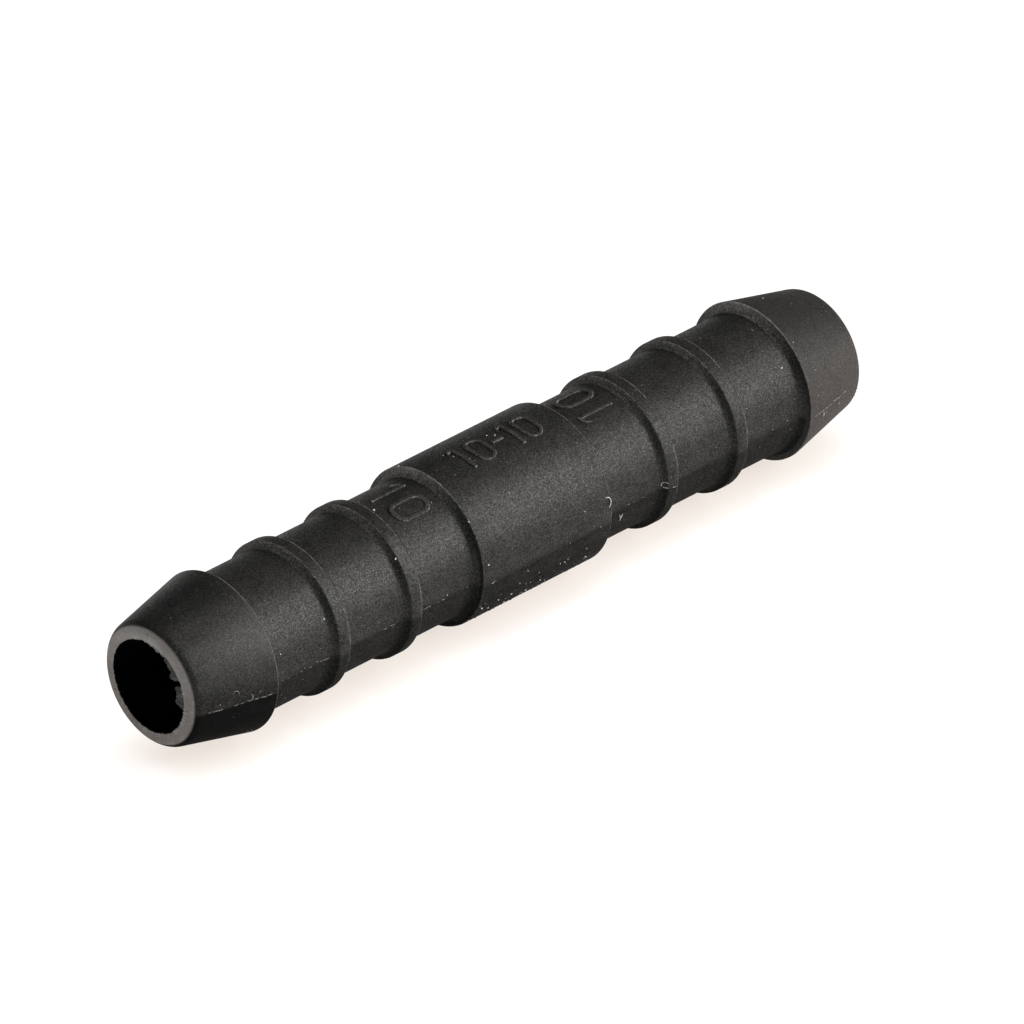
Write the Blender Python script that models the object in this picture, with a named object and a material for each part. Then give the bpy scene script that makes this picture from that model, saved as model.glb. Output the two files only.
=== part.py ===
# A straight barbed joiner for 10 mm hose, moulded in one piece from black nylon. It lies on its side,
# its bore along X and the middle of its length at the origin, the way it rests on a bench.
# Metres, +Z up. Every length here is a driving size: change one and the rest of the outline follows.
import math

import bmesh
import bpy
from mathutils import Vector

MM = 0.001

# The bore and the wall of the two hose tails
BORE = 6.5 * MM
WALL = 1.65 * MM

# Along the axis, from the middle outwards
COLLAR_LENGTH = 11.5 * MM
COLLAR_TO_RING = 5.1 * MM
RING_TO_RING = 5.05 * MM
RING_TO_BARB = 5.4 * MM
BARB_CONE = 6.1 * MM

# How far each feature stands out of the tail's tube
COLLAR_HEIGHT = 0.65 * MM
RING_HEIGHT = 0.45 * MM
BARB_HEIGHT = 0.7 * MM

# A ring has a plain crest between two steep flanks
RING_CREST = 0.9 * MM
RING_FLANK = 0.2 * MM

# The cone runs down to the tip, which keeps this much wall round the bore
TIP_WALL = 1.0 * MM

# Roundings, as arc radii
TIP_ROUND = 0.8 * MM
COLLAR_ROOT = 0.35 * MM
RING_ROOT = 0.3 * MM
BARB_ROOT = 0.4 * MM
CREST_EDGE = 0.08 * MM

# How finely the round stretches are drawn
FACETS = 40
ARC_SAG = 0.0062 * MM

NYLON_COLOUR = (0.019, 0.0185, 0.019, 1.0)
NYLON_ROUGHNESS = 0.5


def clear_scene():
    for thing in list(bpy.data.objects):
        bpy.data.objects.remove(thing, do_unlink=True)


def nylon_material():
    material = bpy.data.materials.new("black_nylon")
    material.use_nodes = True
    shader = material.node_tree.nodes["Principled BSDF"]
    shader.inputs["Base Color"].default_value = NYLON_COLOUR
    shader.inputs["Roughness"].default_value = NYLON_ROUGHNESS
    shader.inputs["Metallic"].default_value = 0.0
    material.diffuse_color = NYLON_COLOUR
    return material


def tail_corners():
    """Corners of one tail from the collar to its tip, each as (distance from the middle, radius, arc radius)."""
    tube = BORE / 2 + WALL
    collar = tube + COLLAR_HEIGHT
    crest = tube + RING_HEIGHT
    barb = tube + BARB_HEIGHT

    at = COLLAR_LENGTH / 2
    corners = [(at, collar, CREST_EDGE), (at, tube, COLLAR_ROOT)]
    for land in (COLLAR_TO_RING, RING_TO_RING):
        at += land
        corners.append((at, tube, RING_ROOT))
        at += RING_FLANK
        corners.append((at, crest, CREST_EDGE))
        at += RING_CREST
        corners.append((at, crest, CREST_EDGE))
        at += RING_FLANK
        corners.append((at, tube, RING_ROOT))

    # The barb's back is square to the axis, which is what holds the hose on
    at += RING_TO_BARB
    corners += [(at, tube, BARB_ROOT), (at, barb, CREST_EDGE)]
    at += BARB_CONE
    corners += [(at, BORE / 2 + TIP_WALL, TIP_ROUND), (at, BORE / 2, 0.0)]
    return corners


def joiner_corners():
    """The closed outline of the wall: one tail, and its mirror image back to the start."""
    tail = tail_corners()
    return tail + [(-at, radius, arc) for at, radius, arc in reversed(tail)]


def rounded(corners):
    """Points of a closed outline whose corners are replaced by arcs that touch both of their sides."""
    count = len(corners)
    points = [Vector((at, radius)) for at, radius, _ in corners]
    to_last = [points[i - 1] - points[i] for i in range(count)]
    to_next = [points[(i + 1) % count] - points[i] for i in range(count)]
    opening = [to_last[i].angle(to_next[i]) for i in range(count)]
    reach = [corners[i][2] / math.tan(opening[i] / 2) for i in range(count)]

    # Two arcs on one short side share it in proportion, so an arc never outgrows its wall
    room = [min(1.0, to_next[i].length / (reach[i] + reach[(i + 1) % count] + 1e-12)) for i in range(count)]

    outline = []
    for i in range(count):
        touch = reach[i] * min(room[i - 1], room[i])
        if touch == 0.0:
            outline.append(points[i])
            continue
        arc = touch * math.tan(opening[i] / 2)
        start = points[i] + to_last[i].normalized() * touch
        end = points[i] + to_next[i].normalized() * touch
        inwards = (to_last[i].normalized() + to_next[i].normalized()).normalized()
        centre = points[i] + inwards * math.hypot(arc, touch)
        turn = math.pi - opening[i]
        steps = math.ceil(turn / (2 * math.acos(1 - min(ARC_SAG / arc, 1))))
        for step in range(steps + 1):
            share = step / steps
            spoke = (start - centre) * math.sin((1 - share) * turn) + (end - centre) * math.sin(share * turn)
            outline.append(centre + spoke / math.sin(turn))
    return outline


def turned(name, outline, material):
    """Turns a closed outline once round the X axis, starting straight below the axis."""
    body = bmesh.new()
    loop = [body.verts.new((at, 0.0, -radius)) for at, radius in outline]
    sides = [body.edges.new((loop[i - 1], loop[i])) for i in range(len(loop))]
    bmesh.ops.spin(
        body,
        geom=loop + sides,
        cent=(0, 0, 0),
        axis=(1, 0, 0),
        angle=2 * math.pi,
        steps=FACETS,
        use_merge=True,
    )
    bmesh.ops.recalc_face_normals(body, faces=body.faces)
    mesh = bpy.data.meshes.new(name)
    body.to_mesh(mesh)
    body.free()
    mesh.materials.append(material)
    mesh.shade_smooth()
    mesh.set_sharp_from_angle(angle=math.radians(35))
    thing = bpy.data.objects.new(name, mesh)
    bpy.context.scene.collection.objects.link(thing)
    return thing


def build_joiner():
    outline = rounded(joiner_corners())
    widest = max(radius for _, radius in outline)
    joiner = turned("hose_joiner", outline, nylon_material())
    joiner.location.z = widest
    return joiner


clear_scene()
build_joiner()
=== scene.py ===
# %% [markdown]
# A straight joiner for two 10 mm hoses. The real one is injection moulded in one piece from black
# nylon: a tube with a bore right through it, a plain collar in the middle where the hoses stop, two
# sealing rings on each tail and a cone barb at each end. This lesson builds its finished look.
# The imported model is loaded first, because the joiner's length and the height of its bore come from it.

# %% Load the frame
import math
import random
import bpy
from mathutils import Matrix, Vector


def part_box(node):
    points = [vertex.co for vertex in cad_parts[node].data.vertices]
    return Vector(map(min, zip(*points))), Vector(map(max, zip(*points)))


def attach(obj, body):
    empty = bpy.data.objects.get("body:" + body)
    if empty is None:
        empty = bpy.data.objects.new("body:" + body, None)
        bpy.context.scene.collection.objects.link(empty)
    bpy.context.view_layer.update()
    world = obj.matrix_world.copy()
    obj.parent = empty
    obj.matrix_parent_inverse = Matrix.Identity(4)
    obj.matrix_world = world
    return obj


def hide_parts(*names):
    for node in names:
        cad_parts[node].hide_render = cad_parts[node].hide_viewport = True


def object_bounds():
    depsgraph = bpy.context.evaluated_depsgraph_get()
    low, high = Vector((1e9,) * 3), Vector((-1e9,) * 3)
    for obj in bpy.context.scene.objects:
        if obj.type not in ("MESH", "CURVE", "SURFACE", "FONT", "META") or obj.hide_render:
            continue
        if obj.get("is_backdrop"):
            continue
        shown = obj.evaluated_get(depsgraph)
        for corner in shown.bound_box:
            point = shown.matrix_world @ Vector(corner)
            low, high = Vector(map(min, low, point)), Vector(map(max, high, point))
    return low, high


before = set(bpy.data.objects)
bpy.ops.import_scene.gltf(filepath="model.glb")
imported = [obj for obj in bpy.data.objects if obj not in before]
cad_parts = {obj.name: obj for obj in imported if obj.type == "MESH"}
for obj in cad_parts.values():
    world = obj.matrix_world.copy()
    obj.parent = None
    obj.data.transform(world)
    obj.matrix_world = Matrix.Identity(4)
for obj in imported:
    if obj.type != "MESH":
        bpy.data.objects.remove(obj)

from types import SimpleNamespace

import bmesh
import bpy
from mathutils import Vector, noise

MM = 0.001
cad_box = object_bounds()
low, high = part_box("hose_joiner")
HALF_LENGTH = high[0]
AXIS = (low[2] + high[2]) / 2
print("joiner", [round((b - a) / MM, 2) for a, b in zip(low, high)], "mm")
print("bore axis", round(AXIS / MM, 3), "mm up")

# %% [markdown]
# The camera comes first, so that everything after it can be judged in the picture. A product shot of
# a small part is taken from far away with a long lens, which keeps both ends nearly the same size.
# Its place is given by a bearing, a height angle and a distance, because those can be read off the
# picture and changed one at a time.

# %% Camera
CAMERA_BEARING = math.radians(-44.1)
CAMERA_HEIGHT_ANGLE = math.radians(31.56)
CAMERA_DISTANCE = 1.032
CAMERA_LENS = 561.7
SENSOR_WIDTH = 36.0

# The joiner sits a little left of the picture's middle and a little below it
JOINER_LEFT_OF_MIDDLE = 1.52 * MM
JOINER_BELOW_MIDDLE = 0.15 * MM


def look_from(bearing, height_angle):
    """The unit vector from the object back to a viewer."""
    flat = math.cos(height_angle)
    return Vector((math.sin(bearing) * flat, -math.cos(bearing) * flat, math.sin(height_angle)))


def make_camera():
    back = look_from(CAMERA_BEARING, CAMERA_HEIGHT_ANGLE)
    right = Vector((math.cos(CAMERA_BEARING), math.sin(CAMERA_BEARING), 0.0))
    up = back.cross(right)
    middle = Vector((0.0, 0.0, AXIS))
    target = middle + right * JOINER_LEFT_OF_MIDDLE + up * JOINER_BELOW_MIDDLE
    bpy.ops.object.camera_add(location=target + back * CAMERA_DISTANCE)
    camera = bpy.context.object
    camera.name = "product_camera"
    camera.rotation_mode = "QUATERNION"
    camera.rotation_quaternion = (-back).to_track_quat("-Z", "Y")
    camera.data.lens = CAMERA_LENS
    camera.data.sensor_width = SENSOR_WIDTH
    camera.data.clip_start = 0.01
    camera.data.clip_end = 10.0
    bpy.context.scene.camera = camera
    print("camera", [round(v, 3) for v in camera.location])


make_camera()

# %% [markdown]
# Shader maths reads best as plain expressions. This small class wraps a node's output socket, so that
# adding or multiplying two of them adds the Math node that does it. Any other node comes from one
# function, which takes the node's type, its settings and what goes into its sockets.

# %% Shader maths
class Value:
    def __init__(self, tree, socket):
        self.tree = tree
        self.socket = socket

    def maths(self, operation, *others, clamp=False):
        settings = {"operation": operation, "use_clamp": clamp}
        return node(self.tree, "ShaderNodeMath", settings, dict(enumerate((self, *others))))

    def __add__(self, other):
        return self.maths("ADD", other)

    __radd__ = __add__

    def __mul__(self, other):
        return self.maths("MULTIPLY", other)

    __rmul__ = __mul__

    def __sub__(self, other):
        return self.maths("SUBTRACT", other)

    def __rsub__(self, other):
        return (self * -1.0) + other

    def larger(self, other):
        return self.maths("MAXIMUM", other)

    def clamped(self):
        """The same value, kept between 0 and 1."""
        return self.maths("ADD", 0.0, clamp=True)

    def band(self, start, end, out_start=0.0, out_end=1.0):
        """Rises smoothly from out_start to out_end while this value goes from start to end."""
        settings = {"interpolation_type": "SMOOTHSTEP"}
        sockets = {"Value": self, "From Min": start, "From Max": end, "To Min": out_start, "To Max": out_end}
        return node(self.tree, "ShaderNodeMapRange", settings, sockets)


def node(tree, kind, settings=None, sockets=None, output=0):
    """Adds a node, sets its settings, then fills its sockets with numbers, colours or other values."""
    made = tree.nodes.new(kind)
    for name, setting in (settings or {}).items():
        setattr(made, name, setting)
    for name, given in (sockets or {}).items():
        if isinstance(given, Value):
            tree.links.new(given.socket, made.inputs[name])
        else:
            made.inputs[name].default_value = given
    return Value(tree, made.outputs[output])


def vector_maths(tree, operation, *vectors, output=0):
    return node(tree, "ShaderNodeVectorMath", {"operation": operation}, dict(enumerate(vectors)), output)


def mix_colour(tree, share, first, second):
    return node(tree, "ShaderNodeMix", {"data_type": "RGBA"}, {0: share, 6: first, 7: second}, output=2)


def new_material(name):
    material = bpy.data.materials.new(name)
    material.use_nodes = True
    return material, material.node_tree, material.node_tree.nodes["Principled BSDF"]


# %% [markdown]
# In a product picture the table and the wall behind it are plain white, but more light on the joiner
# would wash it out. So the white is shown only to rays that look straight at it, from the camera,
# from a mirror or through a glass. The Light Path node tells which kind a ray is, and the light that
# falls on the joiner stays as it was.

# %% Rays that look at the white
def looked_at(tree):
    """1 for rays from the camera, a mirror or a glass, and 0 for the light that falls on things."""
    rays = node(tree, "ShaderNodeLightPath").socket.node.outputs
    seen = [Value(tree, rays[kind]) for kind in ("Is Camera Ray", "Is Glossy Ray", "Is Transmission Ray")]
    return seen[0] + seen[1] + seen[2]


# %% [markdown]
# The joiner lies on a plain white table that fills the view. A matt white floor lit by soft lamps
# comes out a pale grey, so where it is looked at, a share of it is swapped for a plain white glow.
# The rest still takes the soft shadow under the joiner. The share is smaller in front of the joiner,
# where the shadow shows, than behind it, where a studio's back light would wash it out. Close to the
# joiner the glow itself turns darker and warmer, the way a table looks where the piece on it blocks
# the light. An Ambient Occlusion node finds those places, because it measures the open sky.

# %% Floor
FLOOR_SIZE = 3.0
FLOOR_COLOUR = (0.83, 0.85, 0.88, 1.0)
FLOOR_ROUGHNESS = 0.9
GLOW_COLOUR = (1.0, 0.965, 0.94, 1.0)
GLOW_STRENGTH = 1.17
GLOW_SHARE = 0.93
GLOW_SHARE_IN_FRONT = 0.83
# Places across the joiner between which the front turns into the back
FRONT_ENDS = -1.0 * MM
BACK_STARTS = 5.0 * MM
CONTACT_COLOUR = (0.81, 0.74, 0.68, 1.0)
CONTACT_REACH = 3.0 * MM
# Shares of open sky at which the glow is darkest and plain white
CONTACT_DARK = 0.3
CONTACT_CLEAR = 0.9


def floor_material():
    material, tree, shader = new_material("white_table")
    shader.inputs["Base Color"].default_value = FLOOR_COLOUR
    shader.inputs["Roughness"].default_value = FLOOR_ROUGHNESS
    shader.inputs["Specular IOR Level"].default_value = 0.0
    place = node(tree, "ShaderNodeTexCoord", output="Object")
    across = node(tree, "ShaderNodeSeparateXYZ", {}, {0: place}, output=1)
    behind = across.band(FRONT_ENDS, BACK_STARTS)
    sky = node(tree, "ShaderNodeAmbientOcclusion", {"samples": 5}, {"Distance": CONTACT_REACH}, output=1)
    clear = sky.band(CONTACT_DARK, CONTACT_CLEAR).larger(behind)
    tint = mix_colour(tree, clear, CONTACT_COLOUR, GLOW_COLOUR)
    glow = node(tree, "ShaderNodeEmission", sockets={"Color": tint, "Strength": GLOW_STRENGTH})
    lit = Value(tree, shader.outputs[0])
    share = behind * (GLOW_SHARE - GLOW_SHARE_IN_FRONT) + GLOW_SHARE_IN_FRONT
    both = node(tree, "ShaderNodeMixShader", sockets={0: looked_at(tree) * share, 1: lit, 2: glow})
    tree.links.new(both.socket, tree.nodes["Material Output"].inputs["Surface"])
    return material


def make_floor():
    bpy.ops.object.select_all(action="DESELECT")
    bpy.ops.mesh.primitive_grid_add(x_subdivisions=4, y_subdivisions=4, size=FLOOR_SIZE)
    floor = bpy.context.object
    floor.name = "white_table"
    floor.data.materials.append(floor_material())
    floor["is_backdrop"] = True
    print("floor", FLOOR_SIZE, "m square")


make_floor()

# %% [markdown]
# Black nylon shows its form almost only by what it mirrors, so the lamps are large and placed with
# care. The key softbox stands in front on the right, at the height that the bright band along the
# joiner asks for. A weak one on the left picks out the end face, and another one above gives the top
# a faint sheen. Area lamps are used because their size sets how soft a band is. The room round them
# stays dim, which keeps the top of the tube dark. Only where it is looked at, the wall just above the
# table is white, so that a level view shows no dark band behind the joiner.

# %% Lamps and room
ROOM_LIGHT = 0.115
# Sines of the angles up to which the wall is white, and above which it is dim
WALL_WHITE = 0.04
WALL_DIM = 0.06
SOFTBOXES = [
    # name, bearing, height angle, distance, width, height, power
    ("key_softbox", 40.0, 30.0, 0.9, 0.7, 0.8, 15.4),
    ("left_softbox", -95.0, 25.0, 1.1, 0.5, 0.5, 1.1),
    ("top_softbox", 60.0, 78.0, 1.0, 0.45, 0.45, 1.3),
]
LAMP_COLOUR = (1.0, 0.98, 0.95)


def make_softbox(name, bearing, height_angle, distance, width, height, power):
    back = look_from(math.radians(bearing), math.radians(height_angle))
    bpy.ops.object.light_add(type="AREA", location=Vector((0.0, 0.0, AXIS)) + back * distance)
    lamp = bpy.context.object
    lamp.name = name
    lamp.rotation_mode = "QUATERNION"
    lamp.rotation_quaternion = back.to_track_quat("Z", "Y")
    lamp.data.shape = "RECTANGLE"
    lamp.data.size = width
    lamp.data.size_y = height
    lamp.data.energy = power
    lamp.data.color = LAMP_COLOUR
    print(name, "at", [round(v, 2) for v in lamp.location], "power", power)


def make_room():
    world = bpy.data.worlds.new("dim_studio")
    bpy.context.scene.world = world
    world.use_nodes = True
    tree = world.node_tree
    background = tree.nodes["Background"]
    background.inputs["Color"].default_value = (1.0, 1.0, 1.0, 1.0)
    direction = node(tree, "ShaderNodeTexCoord", output="Generated")
    wall = node(tree, "ShaderNodeSeparateXYZ", {}, {0: direction}, output=2).band(WALL_DIM, WALL_WHITE)
    strength = wall * looked_at(tree) * (1 - ROOM_LIGHT) + ROOM_LIGHT
    tree.links.new(strength.socket, background.inputs["Strength"])


make_room()
for box in SOFTBOXES:
    make_softbox(*box)

# %% [markdown]
# Modelling in edit mode needs a few small helpers. One opens a piece for editing with nothing
# selected, one leaves edit mode, and one selects points, edges or faces by a test, as a hand would
# pick them. The tests compare places, and two places closer than these limits count as the same.

# %% Editing helpers
TOUCH = 1e-7
NEARLY = 1e-6


def edit(thing):
    bpy.ops.object.select_all(action="DESELECT")
    bpy.context.view_layer.objects.active = thing
    thing.select_set(True)
    bpy.ops.object.mode_set(mode="EDIT")
    bpy.ops.mesh.select_all(action="DESELECT")


def leave():
    bpy.ops.object.mode_set(mode="OBJECT")


def pick(thing, kind, wanted):
    """Selects only what passes the test, and counts it. kind is VERT, EDGE or FACE."""
    bpy.ops.mesh.select_mode(type=kind)
    bpy.ops.mesh.select_all(action="DESELECT")
    mesh = bmesh.from_edit_mesh(thing.data)
    parts = {"VERT": mesh.verts, "EDGE": mesh.edges, "FACE": mesh.faces}[kind]
    chosen = [part for part in parts if wanted(part)]
    for part in chosen:
        part.select_set(True)
    mesh.select_flush_mode()
    bmesh.update_edit_mesh(thing.data)
    return len(chosen)


def extrude(x, y, z):
    bpy.ops.mesh.extrude_region_move(TRANSFORM_OT_translate={"value": (x, y, z)})


def from_axis(point):
    """How far a point is from the bore's axis."""
    return math.hypot(point.y, point.z - AXIS)


# %% [markdown]
# The moulding is a turned form, so it could be a profile spun round the axis. Here it is drawn the
# way a lathe cuts it instead, step by step along the axis, because every step is then one size that
# can be read off the real part. One half is made, and the other is its mirror image. The last stops
# lie just inside the rim of the bore: their rings of points are needed later, to tear that rim.

# %% Sizes of the moulding
ROUND = 256
BORE = 3.25 * MM
TUBE = 4.9 * MM
COLLAR = 5.55 * MM
RING = 5.35 * MM
BARB = 5.6 * MM
TIP = 4.25 * MM

COLLAR_END = 5.75 * MM
RING_FEET = (10.85 * MM, 17.2 * MM)
RING_FLANK = 0.2 * MM
RING_CREST = 0.9 * MM
BARB_BACK = 23.9 * MM
LIP = (0.05 * MM, 0.2 * MM, 0.34 * MM, 0.5 * MM)


def tail_stops():
    """Places and radii where the outline turns, from the collar round the tip and back in the bore."""
    stops = [(COLLAR_END, COLLAR), (COLLAR_END, TUBE)]
    for foot in RING_FEET:
        crest = foot + RING_FLANK
        crest_end = crest + RING_CREST
        stops += [(foot, TUBE), (crest, RING), (crest_end, RING), (crest_end + RING_FLANK, TUBE)]
    stops += [(BARB_BACK, TUBE), (BARB_BACK, BARB), (HALF_LENGTH, TIP), (HALF_LENGTH, BORE)]
    stops += [(HALF_LENGTH - depth, BORE) for depth in LIP]
    stops.append((0.0, BORE))
    return stops


print("the outline of one tail turns at", len(tail_stops()), "places")

# %% [markdown]
# The start is a short cylinder, half of one side of the collar. Its end face stays selected and is
# extruded from stop to stop. After each step it is resized about the axis to the stop's radius, and
# two stops at one place make a square shoulder. At the tip the face shrinks to the bore and goes
# back inside the wall, which leaves the hole. The two faces that end up in the middle of the joiner
# are deleted, because the other half joins on there.

# %% The turned body
def turn_half():
    bpy.ops.object.select_all(action="DESELECT")
    bpy.ops.mesh.primitive_cylinder_add(
        vertices=ROUND,
        radius=COLLAR,
        depth=COLLAR_END / 2,
        location=(COLLAR_END / 4, 0.0, AXIS),
        rotation=(0.0, math.pi / 2, 0.0),
    )
    body = bpy.context.object
    body.name = "joiner_moulding"
    bpy.ops.object.transform_apply(location=True, rotation=True, scale=True)
    edit(body)
    now_at, now_radius = COLLAR_END / 2, COLLAR
    pick(body, "FACE", lambda face: face.normal.x > 0.9)
    for at, radius in tail_stops():
        extrude(at - now_at, 0.0, 0.0)
        widen = radius / now_radius
        bpy.ops.transform.resize(value=(1.0, widen, widen), center_override=(0.0, 0.0, AXIS))
        now_at, now_radius = at, radius
    pick(body, "FACE", lambda face: all(abs(v.co.x) < TOUCH for v in face.verts))
    bpy.ops.mesh.delete(type="FACE")
    leave()
    return body


moulding = turn_half()
print("half of the moulding:", len(moulding.data.polygons), "faces")

# %% [markdown]
# No moulded edge is perfectly sharp: the steel of the mould is rounded by its cutter, and that soft
# corner is what catches the light. Each corner ring is picked by where it is and rounded with Bevel.
# An arc that touches both sides of a corner starts at its radius times the tangent of half the
# outline's turn there, so the widths below are worked out from radii.

# %% Rounded corners
EDGE_ARC, EDGE_FACES = 0.08 * MM, 3
RING_ROOT_ARC, RING_ROOT_FACES = 0.42 * MM, 5
COLLAR_ROOT_ARC, BARB_ROOT_ARC, ROOT_FACES = 0.45 * MM, 0.52 * MM, 7
TIP_ARC, TIP_FACES = 0.8 * MM, 9

SQUARE = math.pi / 2
FLANK_TURN = math.atan2(RING - TUBE, RING_FLANK)
CONE_SLOPE = math.atan2(BARB - TIP, HALF_LENGTH - BARB_BACK)


def touch_width(radius, turn):
    """How far from a corner an arc starts, when the outline turns there by this angle."""
    return radius * math.tan(turn / 2)


def corner_rings():
    """Each ring to round, as place, radius, width of the bevel and how many faces it gets."""
    rings = [
        (COLLAR_END, COLLAR, touch_width(EDGE_ARC, SQUARE), EDGE_FACES),
        (COLLAR_END, TUBE, touch_width(COLLAR_ROOT_ARC, SQUARE), ROOT_FACES),
        (BARB_BACK, TUBE, touch_width(BARB_ROOT_ARC, SQUARE), ROOT_FACES),
        (BARB_BACK, BARB, touch_width(EDGE_ARC, SQUARE + CONE_SLOPE), EDGE_FACES),
        (HALF_LENGTH, TIP, touch_width(TIP_ARC, SQUARE - CONE_SLOPE), TIP_FACES),
    ]
    for foot in RING_FEET:
        crest_end = foot + RING_FLANK + RING_CREST
        for at, crest in ((foot, foot + RING_FLANK), (crest_end + RING_FLANK, crest_end)):
            rings.append((at, TUBE, touch_width(RING_ROOT_ARC, FLANK_TURN), RING_ROOT_FACES))
            rings.append((crest, RING, touch_width(EDGE_ARC, FLANK_TURN), EDGE_FACES))
    return rings


def round_corners(body):
    edit(body)
    for at, radius, width, faces in corner_rings():
        pick(body, "EDGE", lambda edge: all(
            abs(v.co.x - at) < NEARLY and abs(from_axis(v.co) - radius) < NEARLY for v in edge.verts))
        bpy.ops.mesh.bevel(offset=width, offset_type="OFFSET", segments=faces, profile=0.5, affect="EDGES")
    leave()
    return len(body.data.polygons)


print("with rounded corners:", round_corners(moulding), "faces in the half")

# %% [markdown]
# Both tails of the real joiner come from the same cutter sizes, so the other half is the mirror image
# of this one. The Mirror modifier copies it to the far side of the middle and merges the two open
# rings of points there. A mirrored wall can end up inside out, so its faces are turned outwards.

# %% The other half
def mirror_half(body):
    mirror = body.modifiers.new("other_half", "MIRROR")
    mirror.use_axis = (True, False, False)
    mirror.use_mirror_merge = True
    mirror.merge_threshold = NEARLY
    bpy.context.view_layer.objects.active = body
    bpy.ops.object.modifier_apply(modifier=mirror.name)
    edit(body)
    bpy.ops.mesh.select_all(action="SELECT")
    bpy.ops.mesh.normals_make_consistent(inside=False)
    leave()


mirror_half(moulding)
ends = [v.co.x for v in moulding.data.vertices]
print("whole moulding:", len(ends), "points,", round((max(ends) - min(ends)) / MM, 2), "mm long")

# %% [markdown]
# The bore was drilled or trimmed after moulding, and its near rim is torn: small teeth all round, a
# lip that leans in, one nub, and a strip that hangs inwards and ends in a notch. The rings of points
# just inside the rim are pushed towards the axis. Each torn place is a hump with its own start, end
# and depth, so one of them can be changed alone. Angles go from straight up towards the viewer.

# %% The torn rim
TEETH = 0.15 * MM
# How many lumps of noise fit into one radian of the rim: in the large teeth, the small ones, a tear
LARGE_TEETH, SMALL_TEETH, TORN_LUMPS = 19.0, 47.0, 33.0
# Each ring of points reads the noise a little further on, so that teeth change with depth
NOISE_BY_RING = 0.12
TORN_PLACES = [
    # what it is, from, full from, full to, to, how far it leans in, share of that at the end face
    ("worn", -160.0, -120.0, -60.0, -30.0, -0.1 * MM, 1.0),
    ("low_left", -150.0, -140.0, -100.0, -90.0, 0.05 * MM, 1.0),
    ("teeth", -6.0, 6.0, 22.0, 28.0, 0.08 * MM, 1.0),
    ("chip", 22.0, 30.0, 50.0, 58.0, 0.58 * MM, -0.14),
    ("nub", 44.0, 57.5, 58.5, 61.0, 0.82 * MM, -0.05),
    ("gap", 58.0, 62.0, 64.0, 68.0, -0.1 * MM, 1.0),
    ("strip", 63.5, 68.0, 97.4, 98.4, 0.8 * MM, -0.04),
    ("strip_end", 80.0, 95.0, 97.4, 98.4, 0.12 * MM, 0.0),
]
# A torn place starts a little below the end face: this is how far it has come at each ring of points
TEAR_BY_RING = (0.0, 0.1, 1.0, 0.9)
# Where the teeth are rougher, as from, full from, full to, to
ROUGH_PLACES = [(-35.0, -10.0, 24.0, 32.0), (-160.0, -140.0, -110.0, -90.0)]
EXTRA_ROUGH = 0.9


def angle_of(point):
    """The angle of a point round the bore, from straight up towards the viewer, in degrees."""
    return math.degrees(math.atan2(-point.y, point.z - AXIS))


def smooth_step(value, start, end):
    share = min(1.0, max(0.0, (value - start) / (end - start)))
    return share * share * (3 - 2 * share)


def hump(value, start, full, fade, end):
    """Rises from 0 to 1 between start and full, and falls back to 0 between fade and end."""
    return smooth_step(value, start, full) * (1 - smooth_step(value, fade, end))


def lean(angle, ring):
    """How far the rim leans in at an angle. Ring 0 is in the end face, the others lie behind it."""
    turn = math.radians(angle)
    spot = Vector((math.cos(turn), math.sin(turn), NOISE_BY_RING * ring))
    large = max(0.0, noise.noise(spot * LARGE_TEETH)) ** 1.5
    small = 0.5 * max(0.0, noise.noise(spot * SMALL_TEETH))
    rough = 1 + EXTRA_ROUGH * sum(hump(angle, *place) for place in ROUGH_PLACES)
    torn = 0.0
    for _, start, full, fade, end, depth, at_face in TORN_PLACES:
        share = at_face + (1 - at_face) * TEAR_BY_RING[ring]
        torn += share * depth * hump(angle, start, full, fade, end)
    return TEETH * rough * (large + small) + torn * (1 + 0.3 * noise.noise(spot * TORN_LUMPS))


def tear_rim(body):
    moved = 0
    for v in body.data.vertices:
        depth = v.co.x + HALF_LENGTH
        if from_axis(v.co) > BORE + TOUCH:
            continue
        for ring, place in enumerate((0.0, *LIP[:3])):
            if abs(depth - place) < TOUCH:
                inwards = 1 - lean(angle_of(v.co), ring) / BORE
                v.co.y *= inwards
                v.co.z = AXIS + (v.co.z - AXIS) * inwards
                moved += 1
    return moved


print("torn rim:", tear_rim(moulding), "points moved")

# %% [markdown]
# Where the two halves of the mould meet, a little nylon creeps into the gap and leaves a thin broken
# web: the flash. It runs along both sides of the joiner, in the plane where the mould opens. The
# outline's own edges are copied along that line, split into short lengths, pushed out by an uneven
# height and given a thickness. The joiner has rolled a little since it left the mould, so the line
# lies a few degrees below the middle on the viewer's side.

# %% How high the flash stands
# The line lies 68 of the 256 faces round from straight up
PARTING = 68 * 360.0 / ROUND
TAIL_FLASH = 0.045 * MM
CONE_FLASH = 0.06 * MM
TALLEST_FLASH = 0.11 * MM
# Places along the joiner, from its middle: both cones, the tallest flash and a dotted line of it
ON_CONE = (24.0 * MM, 29.3 * MM)
TALLEST = (24.8 * MM, 26.6 * MM)
DOTTED = (7.6 * MM, 10.6 * MM)
# Lumps of noise to a metre: in its long stretches, its short pieces and the grit on its edge
STRETCH_LUMPS, PIECE_LUMPS, GRIT_LUMPS = 420.0, 3300.0, 9000.0
# The noise of the stretches is shifted, so that flash is rare on the collar and sure on the dotted line
COLLAR_SHIFT = -0.6
DOTTED_SHIFT = 0.6


def rough_line(at, angle, lumps, seed):
    """Noise along one parting line, with this many lumps to a metre."""
    return noise.noise(Vector((at * lumps, angle, seed)))


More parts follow.
